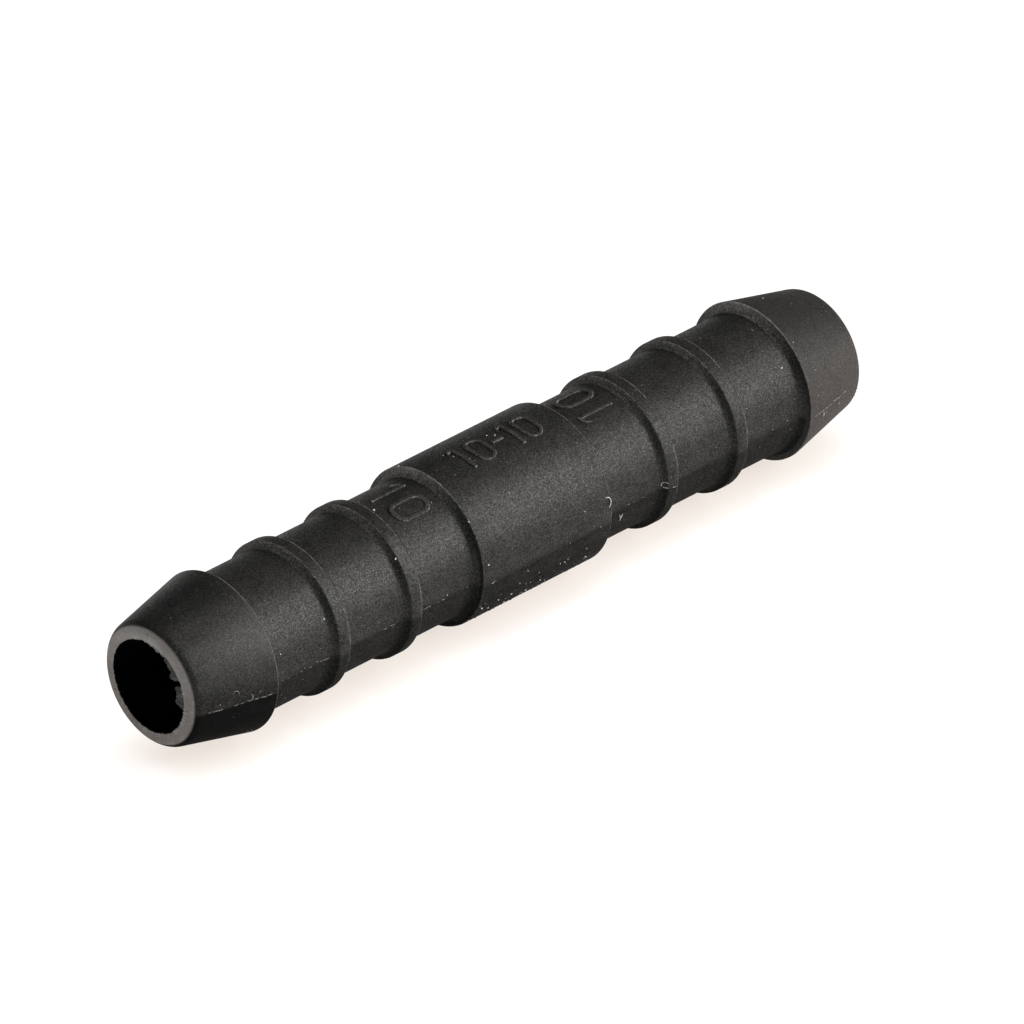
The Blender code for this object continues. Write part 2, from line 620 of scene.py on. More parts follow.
def flash_height(at, angle):
    """Height of the web: in broken lengths, and highest on the viewer's side of the two cones."""
    piece = rough_line(at, angle, PIECE_LUMPS, 4.0)
    grit = 0.5 + abs(rough_line(at, angle, GRIT_LUMPS, 9.0))
    if angle > 0 and ON_CONE[0] < abs(at) < ON_CONE[1]:
        tall = TALLEST_FLASH if TALLEST[0] < at < TALLEST[1] else CONE_FLASH
        return tall * smooth_step(piece, -0.1, 0.2) * grit
    stretch = rough_line(at, angle, STRETCH_LUMPS, 0.0)
    if abs(at) < COLLAR_END:
        stretch += COLLAR_SHIFT
    if DOTTED[0] < at < DOTTED[1]:
        stretch += DOTTED_SHIFT
    return TAIL_FLASH * smooth_step(stretch, 0.0, 0.2) * smooth_step(piece, 0.0, 0.3) * grit


print("flash at", round(PARTING, 1), "and", round(PARTING - 180.0, 1), "degrees from straight up")

# %% [markdown]
# A duplicate of the wall's own edges follows every ring and shoulder exactly, so the web never floats
# off the wall. Its foot is sunk a little below the surface, and where the web is nearly gone, its top
# is sunk as well. Solidify then gives the ribbon its thickness.

# %% Flash along the parting line
FLASH_THICK = 0.035 * MM
FLASH_STEP = 0.09 * MM
# How far the line strays sideways, and in how many lumps to a metre
FLASH_WANDER, WANDER_LUMPS = 0.08 * MM, 2600.0
FOOT_SUNK = 0.03 * MM
TOP_SUNK = 0.01 * MM
OUTER_WALL = BORE + 0.6 * MM


def copy_outline(body, angle):
    """A chain of edges along the outer wall at one angle, as its own object."""
    edit(body)
    pick(body, "EDGE", lambda edge: all(
        abs(angle_of(v.co) - angle) < 0.1 and from_axis(v.co) > OUTER_WALL for v in edge.verts))
    bpy.ops.mesh.duplicate()
    bpy.ops.mesh.separate(type="SELECTED")
    leave()
    chain = [thing for thing in bpy.context.selected_objects if thing != body][0]
    edit(chain)
    while pick(chain, "EDGE", lambda edge: edge.calc_length() > FLASH_STEP):
        bpy.ops.mesh.subdivide(number_cuts=1)
    leave()
    return chain


def raise_flash(chain, angle):
    """Makes the chain a ribbon whose selected side is pushed out, then gives it a thickness."""
    edit(chain)
    bpy.ops.mesh.select_all(action="SELECT")
    bpy.ops.mesh.extrude_edges_move(TRANSFORM_OT_translate={"value": (0.0, 0.0, 0.0)})
    mesh = bmesh.from_edit_mesh(chain.data)
    for v in mesh.verts:
        height = flash_height(v.co.x, angle) if v.select else -FOOT_SUNK
        if v.select and height < TOP_SUNK:
            height = -TOP_SUNK
        grow = 1 + height / from_axis(v.co)
        wander = rough_line(v.co.x, angle, WANDER_LUMPS, 15.0) * FLASH_WANDER
        v.co.y *= grow
        v.co.z = AXIS + (v.co.z - AXIS) * grow + wander
    bmesh.update_edit_mesh(chain.data)
    leave()
    thicken = chain.modifiers.new("web", "SOLIDIFY")
    thicken.thickness = FLASH_THICK
    thicken.offset = 0.0
    bpy.context.view_layer.objects.active = chain
    bpy.ops.object.modifier_apply(modifier=thicken.name)
    chain.name = "flash"
    return chain


flashes = [raise_flash(copy_outline(moulding, angle), angle) for angle in (PARTING, PARTING - 180.0)]
print("flash:", [len(flash.data.polygons) for flash in flashes], "faces on the two sides")

# %% [markdown]
# The raised figures give the hose size. They are cut into the mould by a small ball cutter, so each
# stroke has the same width and a soft edge. A flat outline is drawn first, one region of faces for
# each figure, then it is pushed up and its top edge is rounded. A one is drawn in short steps,
# because a long flat bar would sink into the round wall between its ends.

# %% Drawing the figures flat
FIGURE_SUNK = 0.05 * MM
FIGURE_EDGE = 0.06 * MM
BAR_STEPS = 8
FLAG_STEPS = 5
# How steeply the flag falls at its start and at its tip, in degrees
FLAG_FALL_START, FLAG_FALL_END = 20, 70


def raise_figure(figure, height, name):
    """Pushes a flat region of faces up to a soft-edged stroke, with its foot a little below zero."""
    edit(figure)
    bpy.ops.mesh.select_all(action="SELECT")
    bpy.ops.transform.translate(value=(0.0, 0.0, -FIGURE_SUNK))
    extrude(0.0, 0.0, height + FIGURE_SUNK)
    bpy.ops.mesh.select_all(action="SELECT")
    bpy.ops.mesh.normals_make_consistent(inside=False)
    pick(figure, "EDGE", lambda edge: all(v.co.z > height - NEARLY for v in edge.verts)
         and any(face.normal.z < 0.5 for face in edge.link_faces))
    bpy.ops.mesh.bevel(offset=FIGURE_EDGE, segments=3, profile=0.5, affect="EDGES")
    leave()
    figure.name = name
    return figure


def draw_zero(tall, wide, stroke, height):
    """A circle pulled long, whose inset rim is kept and whose middle is deleted."""
    bpy.ops.object.select_all(action="DESELECT")
    bpy.ops.mesh.primitive_circle_add(vertices=48, radius=wide / 2, fill_type="NGON")
    zero = bpy.context.object
    edit(zero)
    for side in (1, -1):
        pick(zero, "VERT", lambda v: v.co.y * side > TOUCH)
        bpy.ops.transform.translate(value=(0.0, side * (tall - wide) / 2, 0.0))
    bpy.ops.mesh.select_mode(type="FACE")
    bpy.ops.mesh.select_all(action="SELECT")
    bpy.ops.mesh.inset(thickness=stroke)
    bpy.ops.mesh.delete(type="FACE")
    leave()
    return raise_figure(zero, height, "figure_zero")


def draw_one(tall, stroke, height, flag):
    """A bar with a curved flag that falls back from its top to the left."""
    bpy.ops.object.select_all(action="DESELECT")
    bpy.ops.mesh.primitive_plane_add(size=stroke, location=(0.0, (tall - stroke) / 2, 0.0))
    one = bpy.context.object
    bpy.ops.object.transform_apply(location=True, rotation=True, scale=True)
    edit(one)
    left = -stroke / 2
    foot = tall / 2 - stroke
    pick(one, "EDGE", lambda edge: all(v.co.y < foot + TOUCH for v in edge.verts))
    for _ in range(BAR_STEPS):
        extrude(0.0, (stroke - tall) / BAR_STEPS, 0.0)
    pick(one, "EDGE", lambda edge: all(v.co.x < left + TOUCH and v.co.y > foot - TOUCH for v in edge.verts))
    for step in range(FLAG_STEPS):
        steeper = (FLAG_FALL_END - FLAG_FALL_START) * step / (FLAG_STEPS - 1)
        fall = math.radians(FLAG_FALL_START + steeper)
        reach = flag / FLAG_STEPS
        extrude(-reach * math.cos(fall), -reach * math.sin(fall), 0.0)
    leave()
    return raise_figure(one, height, "figure_one")


def draw_dash(wide, stroke, height):
    bpy.ops.object.select_all(action="DESELECT")
    bpy.ops.mesh.primitive_plane_add(size=stroke)
    dash = bpy.context.object
    edit(dash)
    pick(dash, "EDGE", lambda edge: all(v.co.x > 0 for v in edge.verts))
    extrude(wide - stroke, 0.0, 0.0)
    bpy.ops.mesh.select_all(action="SELECT")
    bpy.ops.transform.translate(value=(-(wide - stroke) / 2, 0.0, 0.0))
    leave()
    return raise_figure(dash, height, "figure_dash")


# %% [markdown]
# A figure is laid on the round wall by turning its sideways distance into an angle. Each copy has
# its own mesh, so the first one stays flat for the next copy. The tails carry the hose size across
# the joiner, and the collar carries the sizes of both sides along it.

# %% Laying the figures on the wall
FIGURE_TALL = 3.0 * MM
FIGURE_HEIGHT = 0.13 * MM
ONE_STROKE = 0.24 * MM
ONE_FLAG = 0.8 * MM
ZERO_STROKE = 0.3 * MM
ZERO_WIDE = 1.77 * MM
FIGURE_GAP = 2.02 * MM
TAIL_FIGURES_AT = 8.4 * MM
# The side of the joiner and how far the figures have turned from straight up, in degrees
TAIL_FIGURES = [(-1, 4.9), (1, 2.4)]

MARK_TALL = 2.5 * MM
MARK_STROKE = 0.24 * MM
MARK_FLAG = 0.65 * MM
MARK_ZERO_WIDE = 1.45 * MM
DASH_WIDE = 0.95 * MM
MARK_ANGLE = 3.5


def copy_of(thing):
    double = thing.copy()
    double.data = thing.data.copy()
    bpy.context.scene.collection.objects.link(double)
    return double


def lay_on_wall(figure, at, angle, radius, turned):
    """Bends a flat figure round the wall. at and angle are the place of its middle, and turned is how
    far its top is turned from pointing away from the viewer."""
    cos, sin = math.cos(turned), math.sin(turned)
    for v in figure.data.vertices:
        along = v.co.x * cos - v.co.y * sin
        around = v.co.x * sin + v.co.y * cos
        where = angle - around / radius
        reach = radius + v.co.z
        v.co = (at + along, -reach * math.sin(where), AXIS + reach * math.cos(where))
    return figure


one = draw_one(FIGURE_TALL, ONE_STROKE, FIGURE_HEIGHT, ONE_FLAG)
zero = draw_zero(FIGURE_TALL, ZERO_WIDE, ZERO_STROKE, FIGURE_HEIGHT)
figures = []
for side, angle in TAIL_FIGURES:
    for flat, place in ((one, -0.5), (zero, 0.5)):
        figure = copy_of(flat)
        for v in figure.data.vertices:
            v.co.x += place * FIGURE_GAP
        at = side * TAIL_FIGURES_AT
        figures.append(lay_on_wall(figure, at, math.radians(angle), TUBE, side * math.pi / 2))

small_one = draw_one(MARK_TALL, MARK_STROKE, FIGURE_HEIGHT, MARK_FLAG)
small_zero = draw_zero(MARK_TALL, MARK_ZERO_WIDE, MARK_STROKE, FIGURE_HEIGHT)
dash = draw_dash(DASH_WIDE, MARK_STROKE, FIGURE_HEIGHT)
# Each figure of the mark and its place along the collar, in mm
MARK = [(small_one, -2.6), (small_zero, -1.1), (dash, 0.45), (small_one, 1.75), (small_zero, 3.05)]
for flat, place in MARK:
    figures.append(lay_on_wall(copy_of(flat), place * MM, math.radians(MARK_ANGLE), COLLAR, 0.0))
for flat in (one, zero, small_one, small_zero, dash):
    bpy.data.objects.remove(flat, do_unlink=True)
print(len(figures), "figures laid on the wall")

# %% [markdown]
# A new moulding carries specks of nylon that static holds on to it. A speck is a tiny ball with
# uneven points, half sunk in the wall, so the wall's radius has to be known at every place. Every
# speck also gets a number on its points that says how pale it is, which the material reads later:
# 1 is white nylon, 0 is like the skin round it, and below 0 is painted shade, darker than the skin.
# On the moulding, numbers above 0 also paint highlights.

# %% Making one speck
dust_seed = random.Random(12)


def wall_radius(at):
    """Radius of the outer wall at a place along the joiner."""
    outer = [(0.0, COLLAR)] + tail_stops()[:-(len(LIP) + 2)]
    for (start, inner), (end, other) in zip(outer, outer[1:]):
        if end > start and start <= abs(at) <= end:
            return inner + (other - inner) * (abs(at) - start) / (end - start)
    return TIP


def on_wall(at, angle, height=0.0):
    reach = wall_radius(at) + height
    return Vector((at, -reach * math.sin(math.radians(angle)), AXIS + reach * math.cos(math.radians(angle))))


def make_speck():
    bpy.ops.object.select_all(action="DESELECT")
    bpy.ops.mesh.primitive_ico_sphere_add(subdivisions=1, radius=1.0)
    speck = bpy.context.object
    speck.name = "speck"
    return speck


def paint(things, pale):
    """Gives every point of these things the same pale number."""
    for thing in things:
        if "pale" not in thing.data.attributes:
            thing.data.attributes.new("pale", "FLOAT", "POINT")
        for value in thing.data.attributes["pale"].data:
            value.value = pale


def place_speck(speck, at, angle, size, pale):
    """A copy of the speck on the wall, stretched and dented by chance. at and size are in mm."""
    crumb = copy_of(speck)
    paint([crumb], pale)
    stretch = [size * MM * dust_seed.uniform(0.75, 1.3) for _ in range(3)]
    middle = on_wall(at * MM, angle)
    for v in crumb.data.vertices:
        dent = dust_seed.uniform(0.8, 1.2)
        v.co = middle + Vector([v.co[i] * stretch[i] * dent for i in range(3)])
    return crumb


first_speck = make_speck()
print("a speck has", len(first_speck.data.polygons), "faces")

# %% [markdown]
# The specks that can be told apart in the picture are placed one by one, by their place along the
# joiner and their angle from straight up, in five sizes. Finer dust is scattered from a fixed seed,
# so it falls the same way on every run. Small grains are far more common than large ones.

# %% Specks and dust
SPECKS = {
    # radius in mm, then each place in mm and its angle in degrees
    0.1: [(-10.45, 3)],
    0.07: [(-12.0, 48), (-5.75, 48), (0.75, -2), (0.0, 121), (-5.3, 119)],
    0.055: [(25.9, -11), (-18.8, 64), (22.9, 51), (-5.3, 81), (-2.6, 120), (-3.8, 119), (0.4, -6),
            (-5.7, -26)],
    0.042: [(-22.9, 73), (23.9, 8), (22.4, 93), (3.4, 78), (-3.3, -8), (-2.95, -2), (-5.75, 133),
            (-1.0, 117), (1.9, 113), (-4.5, 124)],
    0.032: [(-18.25, 34), (-18.2, 74), (-19.9, 94), (-21.0, 94), (-9.4, 10), (-9.0, 13), (-6.8, 21),
            (-12.1, 77), (-8.4, 94), (19.6, -5), (23.9, 60), (23.6, 78), (21.05, 94), (17.2, 55),
            (25.1, 63), (-1.7, 102), (5.7, 36), (2.0, 96), (4.1, 92), (-2.2, 111)],
}
DUST = 240
DUST_ALONG = (-28.5, 28.5)
DUST_ROUND = (-160.0, 160.0)


def mostly_small(smallest, largest, power):
    return smallest + (largest - smallest) * dust_seed.random() ** power


specks = []
for size, places in SPECKS.items():
    for at, angle in places:
        specks.append(place_speck(first_speck, at, angle, size, 1.0))
for _ in range(DUST):
    at = dust_seed.uniform(*DUST_ALONG)
    size = mostly_small(0.014, 0.03, 3)
    angle = dust_seed.uniform(*DUST_ROUND)
    specks.append(place_speck(first_speck, at, angle, size, 1.0))
print(len(specks), "specks")

# %% [markdown]
# Two more kinds are scattered in their own places. Grit is left where the far end was cut, thickest
# near its tip. Crumbs from the bench cling low on the collar, where it nearly touches the table, and
# some of them are dark. A triangular draw takes a lowest and a highest number and the one between
# them near which most draws fall.

# %% Grit and crumbs
GRIT = 60
GRIT_ALONG = (26.5, 29.9, 29.6)
GRIT_ROUND = (15.0, 125.0)
GRIT_SIZE = (0.016, 0.034)
GRIT_PALE = 0.25

CRUMBS = 150
CRUMBS_ALONG = (-6.2, 4.6)
CRUMBS_ROUND = (105.0, 139.0, 136.0)
CRUMB_PALES = (0.0, 0.08, 0.2, 0.4, 0.8)

for _ in range(GRIT):
    at = dust_seed.triangular(*GRIT_ALONG)
    size = dust_seed.uniform(*GRIT_SIZE)
    angle = dust_seed.uniform(*GRIT_ROUND)
    specks.append(place_speck(first_speck, at, angle, size, GRIT_PALE))
for _ in range(CRUMBS):
    at = dust_seed.uniform(*CRUMBS_ALONG)
    size = mostly_small(0.02, 0.07, 2)
    pale = dust_seed.choice(CRUMB_PALES)
    angle = dust_seed.triangular(*CRUMBS_ROUND)
    specks.append(place_speck(first_speck, at, angle, size, pale))
print(len(specks), "specks with the grit and the crumbs")

# %% [markdown]
# The near end face is scraped, and a few scratches in it can be told apart. A texture could draw
# them, but each has its own place, so each is a sliver: a speck stretched long and flat, lying in
# the face. Pale ones stand out of it, and dark ones are painted shade, standing in for a cut in it.

# %% Scratches in the end face
SCRATCH_DEEP = 0.008 * MM
FACE_SCRATCHES = [
    # distance from the axis in mm, angle, length and width in mm, direction, pale number
    (3.86, -1.0, 0.3, 0.05, 70.0, -0.8),
    (3.6, -85.0, 0.3, 0.04, 150.0, -0.7),
    (3.52, -117.0, 0.12, 0.1, 0.0, -0.9),
    (3.52, 94.5, 0.5, 0.045, 172.0, -0.8),
    (3.7, -49.0, 0.4, 0.12, 40.0, 0.55),
    (3.78, -38.0, 0.22, 0.07, 60.0, 0.45),
    (3.45, 24.0, 0.25, 0.05, 10.0, -0.5),
    (3.95, 60.0, 0.3, 0.05, 100.0, 0.3),
    (3.5, 150.0, 0.2, 0.05, 30.0, 0.3),
    (3.24, -101.0, 0.1, 0.07, 0.0, 0.5),
    (3.22, -112.0, 0.13, 0.09, 20.0, 0.6),
    (3.21, -121.0, 0.1, 0.1, 60.0, 0.6),
    (3.23, -129.0, 0.14, 0.07, 40.0, 0.5),
    (3.22, -141.0, 0.1, 0.08, 10.0, 0.45),
]


def scratch_face(speck, out, angle, long, wide, turned, pale):
    sliver = copy_of(speck)
    paint([sliver], pale)
    cos, sin = math.cos(math.radians(turned)), math.sin(math.radians(turned))
    y, z = -out * math.sin(math.radians(angle)) * MM, out * math.cos(math.radians(angle)) * MM
    for v in sliver.data.vertices:
        across, up, deep = v.co.x * long * MM / 2, v.co.y * wide * MM / 2, v.co.z * SCRATCH_DEEP
        v.co = (deep - HALF_LENGTH, y + across * cos - up * sin, AXIS + z + across * sin + up * cos)
    return sliver


specks += [scratch_face(first_speck, *scratch) for scratch in FACE_SCRATCHES]
bpy.data.objects.remove(first_speck, do_unlink=True)
print(len(FACE_SCRATCHES), "scratches")

# %% [markdown]
# A shaving is a short curl of nylon, thinner at both ends. It is drawn as a curve with a round bevel,
# the way a wire would be, and then made a mesh. Sideways steps are turned into angles, so it follows
# the round wall. It tightens a little on its way, and its far end lifts off the wall.

# %% Curled shavings
CURLS = [
    # along the joiner, angle, radius of the curl, turn in degrees, first direction, thickness
    (5.4, 79.5, 0.3, 195.0, -110.0, 0.036),
    (6.9, 101.0, 0.55, 45.0, 10.0, 0.03),
    (7.05, 103.5, 0.16, 110.0, -70.0, 0.026),
    (10.95, 92.0, 0.2, 240.0, 60.0, 0.03),
    (-5.0, 89.0, 0.6, 50.0, 65.0, 0.018),
    (-27.0, 86.0, 0.22, 190.0, -170.0, 0.022),
    (-26.0, 92.5, 0.2, 130.0, -60.0, 0.022),
    (-25.2, 91.0, 0.12, 120.0, 150.0, 0.018),
    (25.9, 97.5, 0.3, 60.0, 100.0, 0.03),
    (25.3, 98.5, 0.16, 100.0, -20.0, 0.025),
    (27.2, 97.0, 0.4, 40.0, 60.0, 0.02),
]
CURL_POINTS = 12
# How much a curl tightens, and how far its two ends stand off the wall, in mm
CURL_TIGHTENS = 0.3
CURL_START_UP, CURL_END_UP = 0.01, 0.11


def make_curl(at, angle, radius, turn, first, thick):
    curve = bpy.data.curves.new("curl", "CURVE")
    curve.dimensions = "3D"
    curve.bevel_depth = thick * MM
    curve.bevel_resolution = 1
    curve.use_fill_caps = True
    line = curve.splines.new("POLY")
    line.points.add(CURL_POINTS - 1)
    for number, point in enumerate(line.points):
        share = number / (CURL_POINTS - 1)
        where = math.radians(first + turn * share)
        along = at * MM + radius * MM * math.cos(where) * (1 - CURL_TIGHTENS * share)
        around = math.degrees(radius * MM * math.sin(where) / TUBE)
        up = (CURL_START_UP + (CURL_END_UP - CURL_START_UP) * share) * MM
        place = on_wall(along, angle + around, up)
        point.co = (place.x, place.y, place.z, 1.0)
        point.radius = 0.35 + 0.65 * math.sin(math.pi * (0.1 + 0.85 * share))
    curl = bpy.data.objects.new("curl", curve)
    bpy.context.scene.collection.objects.link(curl)
    bpy.ops.object.select_all(action="DESELECT")
    bpy.context.view_layer.objects.active = curl
    curl.select_set(True)
    bpy.ops.object.convert(target="MESH")
    return bpy.context.object


curls = [make_curl(*curl) for curl in CURLS]
print(len(curls), "curls")

# %% [markdown]
# Torn and scraped nylon is paler than the moulded skin, so the moulding gets the pale number too,
# and the same number paints light and shade. At the near rim the torn nylon is pale, above all in
# the end face, and the bore behind it is painted black as shade. Surfaces that face away from the
# near end get a painted highlight, but not on their steep walls. And flanks that face the near end
# get painted light, most near the top.

# %% How pale each place is
# Pale number of painted shade: the bore behind the torn rim is painted black
IN_SHADE = -1.0
RIM_DEPTH = 0.8 * MM
# Points this near the end face or the bore count as lying in it
IN_FACE = 0.02 * MM
IN_WALL = 0.2 * MM
RIM_FACE_PALE = 0.45
TORN_PALE = 0.24
# Angles between which the strip and the chip are torn, and how far the strip leans in at least
TORN_STRIP = (20.0, 100.0)
TORN_CHIP = (28.0, 56.0)
STRIP_LEANS = 0.04 * MM

# Heights above the tube up to which a wall is its foot, and from which it is its crest
FOOT = 0.3 * MM
CREST = 0.5 * MM
# Painted highlights on surfaces that face away from the near end
AWAY_HIGHLIGHT = 0.1
AWAY_HIGHLIGHT_HIGH_UP = 0.38
AWAY_HIGHLIGHT_LOW_DOWN = 0.13
# Painted light on the flanks that face the near end, and a painted highlight on their crest edges
FLANK_LIGHT = 0.33
FLANK_EDGE_HIGHLIGHT = 0.06
# Flanks of the rings are shallower than the barb's back and the collar's shoulder, and get less painted
# light
RING_SHARE = 0.58
# The angle round the joiner at which the flanks get the most painted light
FLANK_LIGHT_ANGLE = -12.0


def uneven(point):
    """A number of about 0.6 that changes from point to point, so that wear and painted light come in
    patches.
    """
    return 0.4 + 0.9 * abs(noise.noise(point * 2500.0))


def rim_pale(point, out, angle):
    in_face = point.x + HALF_LENGTH < IN_FACE
    if point.x > 0 or out > BORE + IN_WALL or (in_face and out > BORE - IN_FACE):
        return 0.0
    if in_face:
        return RIM_FACE_PALE
    strip = TORN_STRIP[0] < angle < TORN_STRIP[1] and out < BORE - STRIP_LEANS
    chip = TORN_CHIP[0] < angle < TORN_CHIP[1]
    return TORN_PALE * uneven(point) if strip or chip else IN_SHADE


# Painted highlight: surfaces that face away from the near end are paler, more high up and low down, not on
# steep walls, and only low down at their feet
def away_highlight(point, out, angle, facing):
    low_down = smooth_step(angle, 40.0, 90.0)
    if out < TUBE + FOOT:
        return AWAY_HIGHLIGHT * low_down * uneven(point)
    if facing > 0.85:
        return 0.0
    high_up = 1 - smooth_step(angle, 10.0, 50.0)
    return (AWAY_HIGHLIGHT + AWAY_HIGHLIGHT_HIGH_UP * high_up + AWAY_HIGHLIGHT_LOW_DOWN * low_down) * uneven(point)


# Painted light: flanks that face the near end are lighter, most near the top and towards the crest, with a
# painted highlight on the crest edge
def flank_light(point, out, angle, facing):
    toward_light = max(0.0, math.cos(math.radians(angle - FLANK_LIGHT_ANGLE)))
    on_ring = COLLAR_END + 1 * MM < abs(point.x) < BARB_BACK - 1 * MM
    share = RING_SHARE if on_ring else 1.0
    share *= 0.5 + 0.65 * smooth_step(out, TUBE, TUBE + CREST)
    edge = FLANK_EDGE_HIGHLIGHT if out > TUBE + CREST and facing > -0.9 else 0.0
    return edge + FLANK_LIGHT * share * toward_light ** 4 * (0.7 + 0.5 * uneven(point))


def moulding_pale(v):
    out, angle, facing = from_axis(v.co), angle_of(v.co), v.normal.x
    if abs(v.co.x) > HALF_LENGTH - RIM_DEPTH:
        return rim_pale(v.co, out, angle)
    if out < BORE + TOUCH:
        return 0.0
    if facing > 0.2:
        return away_highlight(v.co, out, angle, facing)
    if facing < -0.3:
        return flank_light(v.co, out, angle, facing)
    return 0.0


def paint_points(thing, how_pale):
    """Gives each point the pale number that the function how_pale works out for it."""
    paint([thing], 0.0)
    for v, value in zip(thing.data.vertices, thing.data.attributes["pale"].data):
        value.value = how_pale(v)


paint_points(moulding, moulding_pale)
print("palest place:", round(max(value.value for value in moulding.data.attributes["pale"].data), 2))

# %% [markdown]
# The strokes of the figures get a painted highlight on their sides, the flash went pale where the
# mould strained it, and thick shavings are whiter than thin ones.

# %% How pale the small parts are
# Painted highlight on the sides of the strokes
STROKE_SIDE_HIGHLIGHT = 0.22
STROKE_TOP_PALE = 0.02
FLASH_PALE = 0.26
THICK_CURL = 0.024
THICK_CURL_PALE = 0.85
THIN_CURL_PALE = 0.45


def stroke_highlight(v):
    return STROKE_SIDE_HIGHLIGHT * uneven(v.co) if abs(v.normal.x) > 0.15 else STROKE_TOP_PALE


for figure in figures:
    paint_points(figure, stroke_highlight)
paint(flashes, FLASH_PALE)
for curl, (*_, thick) in zip(curls, CURLS):
    paint([curl], THICK_CURL_PALE if thick > THICK_CURL else THIN_CURL_PALE)
print("painted", len(figures), "figures,", len(flashes), "flashes and", len(curls), "curls")

# %% [markdown]
# The figures and the flash are part of one moulding, and the dust clings to it, so all of them
# become one piece. Faces that meet at less than the angle below are shaded as one round surface.

# %% One moulding
SMOOTH_ANGLE = math.radians(32)


def join(parts, name):
    bpy.ops.object.select_all(action="DESELECT")
    for part in parts:
        part.select_set(True)
    bpy.context.view_layer.objects.active = parts[0]
    bpy.ops.object.join()
    parts[0].name = name
    return parts[0]


moulding = join([moulding] + figures + flashes + specks + curls, "joiner_moulding")
bpy.ops.object.shade_smooth_by_angle(angle=SMOOTH_ANGLE)
print("moulding:", len(moulding.data.polygons), "faces")

# %% [markdown]
# The finish differs from place to place: the two cones were polished calmer, the mould half below
# the parting plane was blasted duller and the near end face is scraped. Painted light and shade are
# placed the same way: a paler far cone, a darker underside and a black bore. Each of these is a mask,
# made from how far a place lies along the joiner, below the parting plane or from the axis. Object
# coordinates give that place, so the masks stay where they are in every view.

# %% Where a place lies
LOWER_SIDE = Vector((0.0, -math.cos(math.radians(PARTING)), -math.sin(math.radians(PARTING))))
CONE_FADE = (23.8 * MM, 24.0 * MM)


def along_direction(tree, place, direction):
    """How far a place lies from the bore's axis in one direction."""
    middle = vector_maths(tree, "SUBTRACT", place, (0.0, 0.0, AXIS))
    return vector_maths(tree, "DOT_PRODUCT", middle, direction, output=1)


def off_axis(tree, place):
    """How far a place lies from the bore's axis in any direction."""
    flat = vector_maths(tree, "MULTIPLY_ADD", place, (0.0, 1.0, 1.0), (0.0, 0.0, -AXIS))
    return vector_maths(tree, "LENGTH", flat, output=1)


def regions(tree, place):
    """Masks that are 1 in their region of the joiner and fade to 0 outside it."""
    along = node(tree, "ShaderNodeSeparateXYZ", {}, {0: place})
    depth = along_direction(tree, place, LOWER_SIDE)
    near_cone = along.band(-CONE_FADE[0], -CONE_FADE[1])
    far_cone = along.band(*CONE_FADE)
    # The mould's two halves meet in a crisp line on the near cone and in a soft one elsewhere
    crisp = depth.band(-0.06 * MM, 0.14 * MM) * near_cone
    soft = depth.band(-0.8 * MM, 0.25 * MM) * (1 - near_cone) * (1 - far_cone)
    return SimpleNamespace(
        near_cone=near_cone,
        far_cone=far_cone,
        near_face=along.band(-HALF_LENGTH + 0.24 * MM, -HALF_LENGTH + 0.1 * MM),
        crisp=crisp,
        lower=crisp + soft,
        # Painted shade: darker and duller on the underside, well below the parting line
        underside_shade=depth.band(0.8 * MM, 2.0 * MM) * (1 - far_cone),
        near_parting=depth.band(-2.4 * MM, 0.0) * near_cone,
        # Painted light: the far cone is paler towards its lower side
        far_cone_light=far_cone * depth.band(-4.4 * MM, -1.6 * MM),
        # The bore, which is painted black as shade
        in_bore=off_axis(tree, place).band(BORE + 0.04 * MM, BORE + 0.005 * MM),
    )


# %% [markdown]
# The blasted grain breaks the mirror image of a lamp into bright and dark grains. A Voronoi texture
# gives every grain one random number. Cubing it makes bright grains rare, as they are on the real
# skin, and taking a quarter off centres it on zero. One set of grains tints the colour and another
# one changes the gloss and the bump, because pits and pigment don't lie in the same places.

# %% Grain
GLOSS_GRAIN = 0.054 * MM
TINT_GRAIN = 0.06 * MM
CONE_CALM = 0.3


def grains(tree, place, size, seed):
    """Random grains of one size, each with its own number, mostly a little below zero."""
    moved = vector_maths(tree, "ADD", place, (seed, seed, seed))
    sockets = {"Vector": moved, "Scale": 1 / size, "Randomness": 1.0}
    cells = node(tree, "ShaderNodeTexVoronoi", {}, sockets, output=1)
    return node(tree, "ShaderNodeSeparateXYZ", {}, {0: cells}).maths("POWER", 3.0) - 0.25


def skin_grain(tree, place, where):
    """The grain of the gloss and the grain of the tint, both calmer on the cones."""
    calm = (where.near_cone + where.far_cone) * CONE_CALM
    gloss = grains(tree, place, GLOSS_GRAIN, 0.0) * (1 - calm - where.far_cone * 0.2)
    tint = grains(tree, place, TINT_GRAIN, 0.5) * (1 - calm)
    return gloss, tint


# %% [markdown]
# The colour is built up in the order in which the real surface got it, with painted light and shade
# laid in on the way. First comes the black skin, with its grains and soft blotches. The lower half of
# the near cone is darker, painted shade makes the bore near black and the underside darker, and
# painted light makes the far cone paler, most on its lower side. Then comes the scraped end face. The
# pale number lies on top of all: above 0 it turns the colour pale, grain by grain, for pale nylon and
# for painted highlights, and below 0 it has already made it black as painted shade.

# %% Colour of the nylon
DARK_GRAIN = (0.005, 0.0049, 0.0047, 1)
LIGHT_GRAIN = (0.031, 0.0302, 0.029, 1)
# Near black of the painted shade in the bore, also used to darken the near cone below the parting line
NEAR_BLACK = (0.001, 0.001, 0.001, 1)
# Colour of the painted light on the far cone's lower side
FAR_CONE_LIGHT = (0.07, 0.062, 0.057, 1)
SCRAPED_DARK = (0.212, 0.193, 0.179, 1)
SCRAPED_LIGHT = (0.37, 0.347, 0.327, 1)
